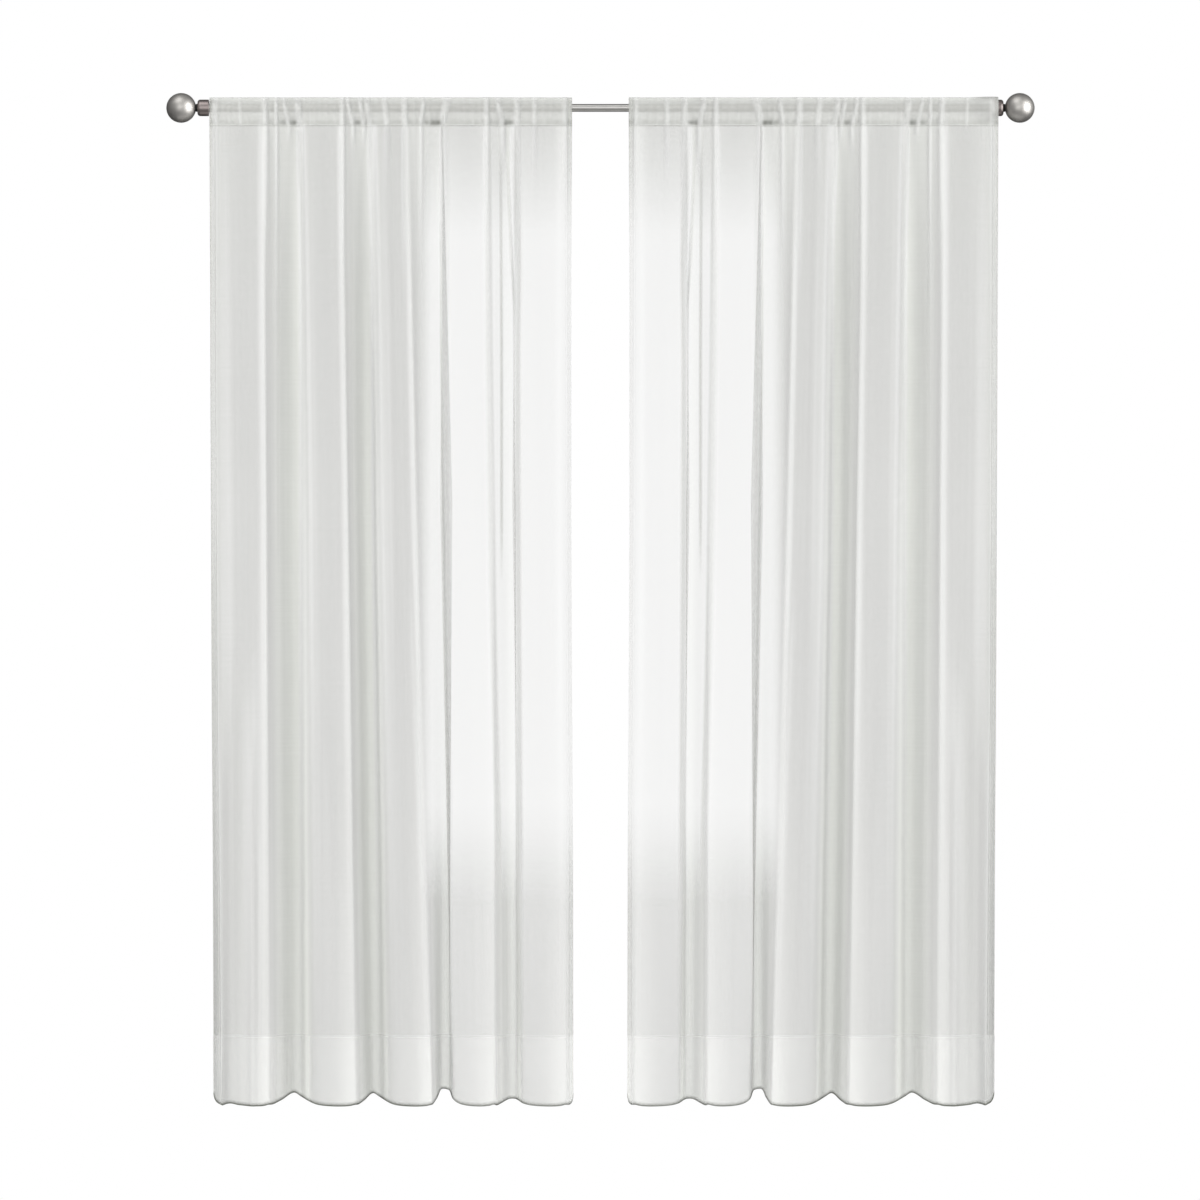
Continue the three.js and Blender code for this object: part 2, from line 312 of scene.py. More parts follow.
# The folds from the outer edge inwards, in millimetres at the pocket seam, the waist and the hem:
# where the front face starts, its ridge and the valley behind it, then how far each stands
# towards the room. lift is how far the hem rises at the valley, far the share of it left on the
# valley's far side, and round how much fuller than usual the hem's corner at the edge is.
FOLDS = [
    {"edge": (30, 36, 43), "ridge": (114, 121, 126), "valley": (183, 183, 185),
     "face": (6, 22, 26), "crest": (11, 33, 44), "back": (-8, -34, -46), "lift": 25},
    {"edge": (203, 213, 220), "ridge": (280, 293, 310), "valley": (333, 336, 352),
     "face": (7, 24, 32), "crest": (10, 32, 42), "back": (-8, -35, -45), "lift": 24},
    {"edge": (354, 366, 384), "ridge": (420, 438, 471), "valley": (486, 505, 498),
     "face": (5, 22, 36), "crest": (9, 32, 42), "back": (-7, -36, -48), "lift": 33, "far": 0.95},
    {"round": 2.4, "edge": (497, 489, 516), "ridge": (588, 601, 603), "valley": (628, 638, 641),
     "face": (6, 26, 34), "crest": (8, 31, 36), "back": (-6, -30, -24), "lift": 13, "far": 1.0},
    {"edge": (652, 642, 664), "ridge": (746, 748, 754),
     "face": (6, 26, 32), "crest": (8, 34, 44)},
]
OUTER_EDGE = [
    {"across": (0, 3, 9.5), "depth": (2, 6, 24), "lift": 27},
    {"across": (3, 6, 12), "depth": (2.2, 7, 20), "lift": 13},
    {"across": (8, 11, 17), "depth": (2.6, 8.5, 13), "lift": 5},
    {"across": (16, 18, 25), "depth": (3, 10, 8), "lift": 1},
]
INNER_EDGE = [
    {"across": (759, 759, 763), "depth": (4.5, 26, 37), "lift": 4},
    {"across": (764, 763.5, 768.5), "depth": (3.6, 23, 34), "lift": 10},
    {"across": (767, 766, 771), "depth": (3, 20, 32), "lift": 26},
]
VALLEY_HALF_WIDTH = (6, 8, 5)
# Along a front face from its edge to its ridge: share of the way, share of the face's depth and
# share of the ridge's extra depth, each high up and at the hem, and how far the hem rises there.
# High up the face comes forward fast, lies flat, then lips up. At the hem it swells slowly.
FACE_PROFILE = [
    (0, (0.72, 0.38), (0, 0), 5.0),
    (0.14, (0.95, 0.72), (0, 0.04), 2.2),
    (0.34, (1.03, 0.95), (0, 0.16), 0.6),
    (0.66, (1.0, 1.0), (0, 0.5), 0.0),
    (0.86, (1.0, 1.0), (0.24, 0.82), 1.2),
    (1, (1.0, 1.0), (1.0, 1.0), 4.0),
]
# Down the side from the ridge to the valley: share of the way, of the drop (high up and at the
# hem) and of the valley's lift.
SIDE_PROFILE = [(0.16, (0.16, 0.09), 0.17), (0.5, (0.55, 0.5), 0.47)]
# How much light and shade is painted along each fold, at the pocket seam, the waist and the hem:
# below 0 the cloth's colour is painted darker, above 0 lighter. near and far are the valley's two sides.
PAINTED_SHADING_TABLE = {
    "outer edge": (0.2, 0.0, -0.5),
    "start": (-0.3, -0.1, -0.8),
    "face": (-0.6, -0.15, -0.3),
    "lip": (-0.4, -0.15, 0.4),
    "ridge": (0.5, 0.3, 0.8),
    "side": (0.2, 1.1, 1.2),
    "near": (0.0, 0.5, -0.1),
    "far": (0.0, 0.5, 0.1),
    "far side": (0.1, 0.8, 1.0),
    "inner edge": (0.3, 0.9, 1.5),
}
# The rod pocket gets one even amount of painted light.
POCKET_PAINTED_SHADING = 0.35
# How the marks on the cloth are told, in millimetres. Shade is painted SEAM_SHADE_ABOVE the seam's
# stitches where the gathers stand out less than GATHER_OUT, a gather is painted whiter as a highlight
# from RUFFLE_OUT on, a valley is nearer the wall than VALLEY_OUT, and the deep folds, painted lighter,
# begin at DEEP_FROM. The last two are shares: how edge-on to the room the weave is taken to be at most, and
# where it looks densest.
SEAM_SHADE_ABOVE = 5.0
SEAM_SHADE_HALF = 5.0
RUFFLE_OUT = 2.6
GATHER_OUT = 2.2
GATHER_Z = -20.0
VALLEY_OUT = 2.0
VALLEY_BLEND = 8.0
DEEP_FROM = 26.0
DEEP_BLEND = 66.0
EDGE_ON_LIMIT = 0.28
EDGE_ON_FULL = 2.5
SWELL_FROM_Z = -1050.0

# Creases: soft ridges and troughs in the cloth, each a line of (height, place from the outer
# edge) with its half width and how far it stands out at its strongest.
CREASES = [
    {"line": [(-195, 140), (-640, 141), (-1085, 143)], "half": 5, "out": 2.6},
    {"line": [(-20, 12), (-900, 16), (-1900, 18)], "half": 6, "out": 2.0},
    {"line": [(-1100, 66), (-1600, 66), (-2112, 64)], "half": 24, "out": -12.0},
    {"line": [(-1250, 28), (-1700, 29), (-2112, 27)], "half": 13, "out": 12.0},
    {"line": [(-1500, 40), (-1800, 42), (-2112, 44)], "half": 6, "out": 2.4},
    {"line": [(-1300, 90), (-1800, 91), (-2112, 90)], "half": 8, "out": 5.0},
    {"line": [(-1500, 103), (-1900, 104), (-2112, 104)], "half": 5, "out": -4.0},
    {"line": [(-1300, 256), (-1700, 262), (-2105, 264)], "half": 9, "out": 2.2},
    {"line": [(-60, 296), (-500, 300), (-1100, 304)], "half": 5, "out": 1.6},
    {"line": [(-30, 373), (-500, 384), (-1300, 396)], "half": 6, "out": 2.0},
    {"line": [(-900, 425), (-1600, 452), (-2100, 470)], "half": 7, "out": 2.2},
    {"line": [(-100, 560), (-900, 566), (-2100, 574)], "half": 9, "out": 1.8},
    {"line": [(-60, 690), (-800, 694), (-2000, 700)], "half": 8, "out": 1.6},
    {"line": [(-30, 755), (-900, 757), (-2050, 760)], "half": 4, "out": 2.0},
]
# Puckers of the gathered pocket: place at the top fold and at the seam, half width, how far it
# stands out, and how far below the seam it runs out.
PUCKERS = [
    (13, 13, 5, 2.6, 200), (64, 66, 3, 2.2, 12), (117, 120, 5, 4.6, 240), (142, 142, 3.5, 3.4, 330),
    (156, 168, 4, 2.8, 24), (186, 192, 6, 4.6, 160), (283, 283, 4.5, 4.8, 220), (291, 304, 4, 3.4, 46),
    (318, 327, 4, 3.6, 30), (333, 340, 5, 4.2, 150), (370, 376, 5, 3.4, 90), (413, 415, 5, 4.6, 240),
    (456, 448, 4, 3.4, 260), (505, 494, 6, 4.8, 300), (587, 587, 4.5, 3.8, 200), (610, 621, 5, 4.2, 90),
    (652, 653, 5, 4.6, 260), (689, 689, 4.5, 2.6, 120), (752, 753, 5, 2.8, 180),
]
# Narrow pleats where the inner third lies over itself, as lines of (height, place) with the
# half width and how dense each is. Along them the cloth is not thinned for the painted backlight.
PLEATS = [
    {"line": [(-2100, 503), (-1508, 507), (-1020, 501), (-512, 497), (-26, 500)],
     "half": 9, "dense": 0.22},
    {"line": [(-1508, 506.5), (-1020, 497), (-512, 489.5), (-26, 491)],
     "half": 2.4, "dense": 0.75},
    {"line": [(-2100, 612), (-1508, 610.5), (-1020, 599), (-512, 592), (-26, 589)],
     "half": 7, "dense": 0.7},
    {"line": [(-880, 618), (-512, 618), (-26, 616)], "half": 3.0, "dense": 0.75},
    {"line": [(-420, 646), (-333, 640), (-26, 628)], "half": 3.5, "dense": 0.9},
    {"line": [(-2100, 657), (-1508, 656), (-1020, 653), (-512, 651), (-333, 653), (-26, 648)],
     "half": 7, "dense": 1.0},
]
# Painted backlight: from the first place across to the second, and over the heights whose share is high,
# the inner third is made sheerer so that the white behind shows through it as a glow.
BACKLIT_FROM = (432, 474)
BACKLIT_SHARES = [
    (-2112, 0.16), (-1680, 0.24), (-1490, 1.0), (-270, 1.0), (-120, 0.4), (-42, 0.15), (-32, 0), (24, 0)]
SMALL_PUCKER_PITCH = 13.0
SMALL_PUCKER_OUT = (0.4, 1.1)
# The teardrop of the pocket seen from its end: height, half depth, and the same where the right
# panel's mouth is opened over the end cap. lean is how much of the seam's fold is still felt.
POCKET_ROWS = [
    {"z": -33, "half": 1.1, "cap_z": -33, "cap_half": 1.6, "lean": 0.92},
    {"z": -29, "half": 2.3, "cap_z": -29, "cap_half": 4.2, "lean": 0.78},
    {"z": -24, "half": 4.3, "cap_z": -24, "cap_half": 8.4, "lean": 0.58},
    {"z": -18, "half": 7.0, "cap_z": -18, "cap_half": 14.0, "lean": 0.34},
    {"z": -12, "half": 9.4, "cap_z": -12, "cap_half": 18.6, "lean": 0.16},
    {"z": -6, "half": 11.1, "cap_z": -6, "cap_half": 20.4, "lean": 0.04},
    {"z": 0, "half": 11.7, "cap_z": 0, "cap_half": 20.6, "lean": 0},
    {"z": 4, "half": 11.3, "cap_z": 5, "cap_half": 20.2, "lean": 0.02},
    {"z": 8, "half": 9.5, "cap_z": 10, "cap_half": 18.6, "lean": 0.06},
    {"z": 11.5, "half": 6.4, "cap_z": 15, "cap_half": 15.4, "lean": 0.14},
    {"z": 14.5, "half": 3.5, "cap_z": 18.6, "cap_half": 11.6, "lean": 0.22},
    {"z": 17.5, "half": 1.9, "cap_z": 21, "cap_half": 8.0, "lean": 0.3},
    {"z": 20, "half": 1.1, "cap_z": 22.6, "cap_half": 4.6, "lean": 0.36},
    {"z": 21.4, "half": 0.7, "cap_z": 23.4, "cap_half": 2.2, "lean": 0.4},
]
WEAVE_PITCH = 0.55 * MM
THREAD_RADIUS = 0.2
STITCH_INPUTS = {"Pitch": 3.4 * MM, "Length": 3.0 * MM, "Thread radius": THREAD_RADIUS * MM, "Seed": 5}
FIN_FROM_Z = 9.0
FIN_BLEND = 8.0
MOUTH_TAPER = 45.0
MOUTH_GRIP = 8.0
SEAM_ALLOWANCE = 3.0
COLUMN_PITCH = 3.05
HEM_ROWS = [0, 1.4, 4, 9, 18, 34, 56, 82, 108, 130, 143, 149]
BODY_ROWS = 58
BODY_ROW_CROWDING = 1.7


def at_height(marks, z, settle=1):
    """Values given at the pocket seam, waist and hem, read at heights z. settle 2 opens a fold high up."""
    top, middle, bottom = marks
    down = np.clip((POCKET_SEAM_Z - z) / (POCKET_SEAM_Z - WAIST_Z), 0, 1)
    upper = top + (middle - top) * (1 - (1 - down) ** settle)
    lower = middle + (bottom - middle) * np.clip((WAIST_Z - z) / (WAIST_Z - HEM_Z), 0, 1)
    return np.where(z >= WAIST_Z, upper, lower)


def fold_guides(z):
    """The points that each row of cloth passes through: across, towards the room and up, by height."""
    guides = []

    def add(across, out, lift):
        guides.append(np.stack([across, out, np.full_like(z, lift)], -1))

    for edge in OUTER_EDGE:
        add(at_height(edge["across"], z), at_height(edge["depth"], z, 2), edge["lift"])
    turn = at_height(VALLEY_HALF_WIDTH, z)
    swell = np.clip((SWELL_FROM_Z - z) / (SWELL_FROM_Z - HEM_SEAM_Z), 0, 1)
    for fold in FOLDS:
        start = at_height(fold["edge"], z)
        ridge = at_height(fold["ridge"], z)
        face = at_height(fold["face"], z, 2)
        crest = at_height(fold["crest"], z, 2)
        for way, depths, lips, lift in FACE_PROFILE:
            depth_share, lip_share = (high + swell * (low - high) for high, low in (depths, lips))
            lift = lift * fold.get("round", 1) if way < 0.5 else lift
            add(start + way * (ridge - start), depth_share * face + lip_share * (crest - face), lift)
        if "valley" not in fold:
            continue
        valley = at_height(fold["valley"], z)
        back = at_height(fold["back"], z, 2)
        for way, drops, lift_share in SIDE_PROFILE:
            drop_share = drops[0] + swell * (drops[1] - drops[0])
            add(ridge + way * (valley - turn - ridge), crest + drop_share * (back - crest),
                lift_share * fold["lift"])
        add(valley - turn, back, fold["lift"])
        add(valley + turn, back, fold.get("far", 0.72) * fold["lift"])
    for edge in INNER_EDGE:
        add(at_height(edge["across"], z), at_height(edge["depth"], z, 2), edge["lift"])
    lifted = np.clip((HEM_SEAM_Z - z) / (HEM_SEAM_Z - HEM_Z), 0, 1)
    guides = np.stack(guides, 1)
    guides[..., 2] = z[:, None] + guides[..., 2] * lifted[:, None]
    return guides


def through(guides, segment, share):
    """Points on the centripetal curve through each row's guides, at a share of the way along a segment."""
    first = 2 * guides[:, :1] - guides[:, 1:2]
    last = 2 * guides[:, -1:] - guides[:, -2:-1]
    points = np.concatenate([first, guides, last], 1)
    p0, p1, p2, p3 = (points[:, segment + k] for k in range(4))
    pairs = ((p0, p1), (p1, p2), (p2, p3))
    d0, d1, d2 = (np.sqrt(np.linalg.norm(b - a, axis=-1, keepdims=True)) for a, b in pairs)
    t1 = ((p1 - p0) / d0 - (p2 - p0) / (d0 + d1) + (p2 - p1) / d1) * d1
    t2 = ((p2 - p1) / d1 - (p3 - p1) / (d1 + d2) + (p3 - p2) / d2) * d1
    t = share[None, :, None]
    return p1 + t1 * t + (3 * (p2 - p1) - 2 * t1 - t2) * t ** 2 + (2 * (p1 - p2) + t1 + t2) * t ** 3


def ridge_shape(offset):
    """A soft round ridge, 1 high at offset 0 and gone by about 2."""
    return np.exp(-offset ** 2)


def crease_height(across, z):
    """How far the creases push the cloth out, at places across and heights z."""
    height = np.zeros_like(across)
    for crease in CREASES:
        line = sorted(crease["line"])
        heights = [point[0] for point in line]
        middle = np.interp(z, heights, [point[1] for point in line])
        low, high = heights[0], heights[-1]
        run = np.clip((z - low) / (0.3 * (high - low)), 0, 1) if low > HEM_Z + 20 else 1.0
        run = run * np.clip((high - z) / (0.25 * (high - low)), 0, 1)
        run = run * run * (3 - 2 * run)
        height += crease["out"] * run * ridge_shape((across - middle) / crease["half"])
    return height


def pleat_density(across, z):
    """How dense the pleats make the cloth, 0 to 1."""
    dense = np.zeros_like(across)
    for pleat in PLEATS:
        line = sorted(pleat["line"])
        heights = [point[0] for point in line]
        middle = np.interp(z, heights, [point[1] for point in line])
        run = np.clip((z - heights[0]) / 120 + 1, 0, 1) if heights[0] > HEM_Z + 20 else 1.0
        dense = np.maximum(dense, pleat["dense"] * run * np.exp(-((across - middle) / pleat["half"]) ** 4))
    return dense


def painted_shading_at(across, z):
    """How much light or shade is painted on the cloth at places across and heights z, from the table along
    every fold.
    """
    turn = at_height(VALLEY_HALF_WIDTH, z)
    knots = [(at_height((0, 0, 0), z), "outer edge")]
    for fold in FOLDS:
        start = at_height(fold["edge"], z)
        ridge = at_height(fold["ridge"], z)
        knots.append((start, "start"))
        knots.append((start + 0.5 * (ridge - start), "face"))
        knots.append((start + 0.8 * (ridge - start), "lip"))
        knots.append((ridge, "ridge"))
        if "valley" in fold:
            valley = at_height(fold["valley"], z)
            after = at_height(FOLDS[FOLDS.index(fold) + 1]["edge"], z)
            knots.append((ridge + 0.4 * (valley - turn - ridge), "side"))
            knots.append((valley - turn, "near"))
            knots.append((valley + turn, "far"))
            knots.append((0.5 * (valley + turn + after), "far side"))
    knots.append((at_height(INNER_EDGE[-1]["across"], z), "inner edge"))
    full = np.zeros_like(across)
    for (place, key), (after, next_key) in zip(knots, knots[1:]):
        way = np.clip((across - place) / (after - place), 0, 1)
        here, there = at_height(PAINTED_SHADING_TABLE[key], z), at_height(PAINTED_SHADING_TABLE[next_key], z)
        full = np.where(across >= place, here + way * (there - here), full)
    return full


def small_puckers(seed):
    """A row of small gathers at random places along the pocket, in the same form as PUCKERS."""
    chance = np.random.default_rng(seed)
    rows = []
    place = 20.0
    while place < TABLE_WIDTH - 15:
        slant = chance.uniform(-5, 5)
        half = chance.uniform(2.6, 4.2)
        rows.append((place, place + slant, half, chance.uniform(*SMALL_PUCKER_OUT), chance.uniform(8, 45)))
        place += SMALL_PUCKER_PITCH * chance.uniform(0.6, 1.5)
    return rows


def pucker_height(puckers, across, z):
    """How far the gathers push the cloth out. They stand out most in the pocket and die away below its
    seam.
    """
    down = np.clip((HEAD_Z - z) / (HEAD_Z - POCKET_SEAM_Z), 0, 1)
    below = np.maximum(POCKET_SEAM_Z - z, 0)
    pinched = 1 - 0.55 * np.exp(-((z - POCKET_SEAM_Z) / 5.0) ** 2)
    height = np.zeros_like(across)
    for top, seam, half, out, run in puckers:
        middle = top + (seam - top) * down
        spread = half * (1 + 0.35 * np.clip(below / run, 0, 2))
        height += out * np.exp(-(below / run) ** 2) * ridge_shape((across - middle) / spread)
    return height * pinched


def uneven(across, z, seed):
    """The slow unevenness of a hung cloth, from -1 to 1."""
    flat = [noise.noise((x / 95.0, h / 620.0, seed)) for x, h in zip(across.ravel(), z.ravel())]
    return np.array(flat).reshape(across.shape)


def columns_for():
    """Segment and share of every column, spaced evenly along the cloth where it is fullest."""
    heights = np.array([HEM_Z, -1200.0])
    guides = fold_guides(heights)
    segment, share = [], []
    for k in range(guides.shape[1] - 1):
        fine = through(guides, np.full(9, k), np.linspace(0, 1, 9))
        length = np.linalg.norm(np.diff(fine[..., :2], axis=1), axis=-1).sum(1).max()
        count = max(2, round(length / COLUMN_PITCH))
        segment += [k] * count
        share += [i / count for i in range(count)]
    return np.array(segment + [guides.shape[1] - 2]), np.array(share + [1.0])


def body_heights():
    """Heights of the rows from the hem's bottom fold up to the pocket seam, closest near the gathers."""
    hem = [HEM_Z + h for h in HEM_ROWS]
    steps = np.linspace(0, 1, BODY_ROWS) ** BODY_ROW_CROWDING
    body = POCKET_SEAM_Z - steps * (POCKET_SEAM_Z - HEM_SEAM_Z)
    return np.array(hem + sorted(body))


def cloth_rows(panel, seed):
    """The sheet's middle surface as a grid, from the hem's fold up the front, over and down the back."""
    heights = body_heights()
    segment, share = columns_for()
    base = through(fold_guides(heights), segment, share)
    z = np.repeat(heights[:, None], base.shape[1], 1)
    across = base[..., 0]
    slope = np.gradient(base[..., :2], axis=1)
    slope /= np.linalg.norm(slope, axis=-1, keepdims=True)
    to_room = np.stack([-slope[..., 1], slope[..., 0]], -1)
    facing = np.clip(to_room[..., 1], 0, 1)
    front_puckers = PUCKERS + small_puckers(seed)
    push = (crease_height(across, z) + pucker_height(front_puckers, across, z)) * facing
    below = np.clip((POCKET_SEAM_Z - z) / 300.0, 0, 1)
    push += 1.6 * below * uneven(across, z, seed)
    base[..., :2] += to_room * push[..., None]

    seam = base[-1]
    seam_across, seam_out = seam[:, 0], seam[:, 1] - 0.35
    cap_end = abs(panel["edge"]) - CAP_END
    opened = np.clip((cap_end + MOUTH_GRIP + MOUTH_TAPER - seam_across) / MOUTH_TAPER, 0, 1)
    opened = opened * opened * (3 - 2 * opened) if cap_end > 0 else np.zeros_like(seam_across)
    back_puckers = small_puckers(seed + 7) + [(t, s, h, 0.6 * out, r) for t, s, h, out, r in PUCKERS[1::2]]
    front, back = [], []
    for row in POCKET_ROWS:
        height = row["z"] + opened * (row["cap_z"] - row["z"])
        half = row["half"] + opened * (row["cap_half"] - row["half"])
        lean = row["lean"] * seam_out
        snug = 1 - 0.75 * opened
        for side, puckers, rows in ((1, front_puckers, front), (-1, back_puckers, back)):
            fullness = pucker_height(puckers, seam_across, np.full_like(seam_across, row["z"])) * snug
            # near the metal the cloth can only stand away from it, and in the fin both layers sway
            in_fin = np.clip((row["z"] - FIN_FROM_Z) / FIN_BLEND, 0, 1)
            at_rod = pucker_height(front_puckers, seam_across, np.zeros_like(seam_across))
            sway = in_fin * 0.5 * (at_rod - 1.2)
            out = lean + side * (half + (1 - in_fin) * fullness) + sway * snug
            rows.append(np.stack([seam_across, out, height], -1))
    crown = 0.5 * (front[-1] + back[-1])
    waver = uneven(seam_across, np.zeros_like(seam_across), seed + 3)
    crown[:, 2] = HEAD_Z + 1.5 * opened + 0.5 * waver
    foot = base[-1] - np.array([0, LAYER_STEP, 0])
    allowance = foot - np.array([0, 0.4, SEAM_ALLOWANCE])
    return np.concatenate([base, front, [crown], back[::-1], [foot, allowance]]), len(heights)


def outward(grid):
    """Unit normals of a grid of points, towards the room on the front of the sheet."""
    along = np.gradient(grid, axis=1)
    up = np.gradient(grid, axis=0)
    normal = np.cross(up, along)
    return normal / np.maximum(np.linalg.norm(normal, axis=-1, keepdims=True), 1e-9)


def panel_grid(panel, seed):
    """The whole cloth as one grid with its turned side and bottom hems, and what each point is."""
    rows, seam_row = cloth_rows(panel, seed)
    normal = outward(rows)
    gaps = np.linalg.norm(np.diff(rows[seam_row // 2], axis=0), axis=-1)
    first = int(np.searchsorted(np.cumsum(gaps), SIDE_HEM)) + 1
    last = int(np.searchsorted(np.cumsum(gaps[::-1]), SIDE_HEM)) + 1
    count = rows.shape[1]
    back_again = range(count - 2, count - 2 - last, -1)
    column = np.array([*range(first, 0, -1), *range(count), *back_again])
    turned_side = np.array([1.0] * first + [0.5] + [0.0] * (count - 2) + [0.5] + [1.0] * last)
    hem_rows = len(HEM_ROWS)
    row = np.array([*range(hem_rows - 1, 0, -1), *range(rows.shape[0])])
    turned_up = np.array([1.0] * (hem_rows - 1) + [0.5] + [0.0] * (rows.shape[0] - 1))
    place = rows[row[:, None], column[None, :]]
    side = LAYER_STEP * turned_side[None, :]
    depth = side + (3 * LAYER_STEP - 2 * side) * turned_up[:, None]
    place = place - normal[row[:, None], column[None, :]] * depth[..., None]
    in_hem = (rows[row, count // 2, 2] < HEM_SEAM_Z) & (row < seam_row)
    above_seam = rows[row, :, 2][:, column] - POCKET_SEAM_Z
    at_seam = np.exp(-((above_seam - SEAM_SHADE_ABOVE) / SEAM_SHADE_HALF) ** 2)
    gathers = PUCKERS + small_puckers(seed)
    from_edge, height = rows[row, :, 0][:, column], rows[row, :, 2][:, column]
    ruffle = np.clip(pucker_height(PUCKERS, from_edge, height) / RUFFLE_OUT, 0, 1)
    gathered = pucker_height(gathers, from_edge, np.full(place.shape[:2], GATHER_Z))
    hollow = np.clip(1 - gathered / GATHER_OUT, 0, 1)
    in_valley = np.clip((VALLEY_OUT - rows[seam_row, column, 1]) / VALLEY_BLEND, 0, 1)[None, :]
    at_side = (column <= first) | (column >= count - 1 - last)
    marks = {
        # painted shade just above the pocket seam, strongest in the hollows between gathers and in the
        # valleys, where the seam's extra layers also lie
        "seam": at_seam * hollow * (0.3 + 0.7 * in_valley),
        # raised gathers in the pocket: painted whiter as a highlight in voile(), and made denser
        "ruffle": ruffle,
        # the hem's bottom fold: painted dark as shade in voile(), and made denser
        "fold": np.repeat(np.interp(row, [1, 2, 3], [1, 0.5, 0])[:, None], len(column), 1),
        "hem": np.repeat(in_hem[:, None].astype(float), len(column), 1),
        "pocket": np.repeat((row >= seam_row - 1)[:, None].astype(float), len(column), 1),
        "selvage": np.repeat(at_side[None, :].astype(float), len(row), 0),
    }
    return place, normal[row[:, None], column[None, :]], marks, row, column


def voile_panel(name, panel, seed):
    """One panel as a mesh: the grid with its cloth map in metres, how deep and doubled it is, and the light
    and shade painted on it.
    """
    place, normal, marks, row, column = panel_grid(panel, seed)
    widen = panel["width"] / TABLE_WIDTH
    points = np.empty_like(place)
    points[..., 0] = panel["edge"] + panel["sign"] * widen * place[..., 0]
    points[..., 1] = -place[..., 1]
    points[..., 2] = place[..., 2]
    points *= MM
    high, wide = points.shape[:2]
    index = np.arange(high * wide).reshape(high, wide)
    quads = np.stack([index[:-1, :-1], index[:-1, 1:], index[1:, 1:], index[1:, :-1]], -1).reshape(-1, 4)
    if panel["sign"] < 0:
        quads = quads[:, ::-1]
    mesh = bpy.data.meshes.new(name)
    mesh.from_pydata(points.reshape(-1, 3).tolist(), [], quads.tolist())
    mesh.shade_smooth()
    steps_up = np.linalg.norm(np.diff(points[:, wide // 2], axis=0), axis=-1)
    steps_along = np.linalg.norm(np.diff(points[high // 3], axis=0), axis=-1)
    v = np.concatenate([[0], np.cumsum(steps_up)])
    u = np.concatenate([[0], np.cumsum(steps_along)])
    cloth_map = mesh.uv_layers.new(name="cloth")
    corner = np.empty(len(mesh.loops), int)
    mesh.loops.foreach_get("vertex_index", corner)
    spots = np.stack([u[corner % wide], v[corner // wide]], -1)
    cloth_map.uv.foreach_set("vector", spots.astype(np.float32).ravel())
    edge_on = 1 / np.clip(np.abs(normal[..., 1]), EDGE_ON_LIMIT, 1) - 1
    inner = np.clip((place[..., 0] - BACKLIT_FROM[0]) / (BACKLIT_FROM[1] - BACKLIT_FROM[0]), 0, 1)
    inner = inner * inner * (3 - 2 * inner)
    backlit_share = np.interp(place[..., 2], [z for z, _ in BACKLIT_SHARES], [share for _, share in BACKLIT_SHARES])
    hem, pocket, selvage = (marks[key] for key in ("hem", "pocket", "selvage"))
    low = np.clip((SWELL_FROM_Z - place[..., 2]) / (SWELL_FROM_Z - HEM_SEAM_Z), 0, 1)
    painted_shading_look = painted_shading_at(place[..., 0], place[..., 2])
    values = {
        "gather": np.clip(edge_on / EDGE_ON_FULL, 0, 1),
        # painted highlight: cloth turned towards the panel's outer side, where its key light stands, is
        # painted whiter, less so near the hem
        "outer": np.clip(-1.9 * normal[..., 0] - 0.2, 0, 1) * (1 - 0.85 * low),
        # painted fill light: cloth lying deep in the folds is painted lighter
        "inner": np.clip((DEEP_FROM - place[..., 1]) / DEEP_BLEND, 0, 1),
        # painted light and shade along each fold, one even amount on the pocket
        "full": painted_shading_look * (1 - pocket) + POCKET_PAINTED_SHADING * pocket,
        # painted backlight: the inner third made sheerer so the white behind glows through, except on the
        # pleats
        "painted_backlight": inner * backlit_share * (1 - pleat_density(place[..., 0], place[..., 2])),
        "doubled": 0.33 * np.clip(hem + 0.3 * selvage + 0.9 * pocket, 0, 1),
        "thinness": 0.5 - 0.22 * hem - 0.06 * pocket - 0.12 * selvage,
        # ruffle whitens the gathers as a painted highlight and makes them denser
        "ruffle": marks["ruffle"],
        # seam darkens the cloth above the pocket seam as painted shade and makes it denser
        "seam": marks["seam"],
        # fold darkens the hem's bottom fold as painted shade and makes it denser
        "fold": marks["fold"],
    }
    for key, value in values.items():
        layer = mesh.attributes.new(key, "FLOAT", "POINT")
        layer.data.foreach_set("value", value.astype(np.float32).ravel())
    piece = bpy.data.objects.new(name, mesh)
    bpy.context.scene.collection.objects.link(piece)
    thick = piece.modifiers.new("cloth thickness", "SOLIDIFY")
    thick.thickness = SHEET * MM
    thick.offset = 0
    thick.use_even_offset = False
    above = points + normal * [panel["sign"], -1, 1] * (0.5 * SHEET + THREAD_RADIUS) * MM
    left, right = np.flatnonzero(np.diff(column) > 0)[[0, -1]] + [0, 1]
    bottom = len(HEM_ROWS) - 1
    top = bottom + np.flatnonzero(marks["pocket"][bottom:, wide // 2])[0]
    turned = int(left) - 1
    seams = [
        0.5 * (above[2 * bottom, left:right] + above[2 * bottom - 1, left:right]),
        above[top, left:right],
        above[-2, left:right],
        above[bottom:top + 1, left + turned],
        above[bottom:top + 1, right - turned],
    ]
    return piece, seams


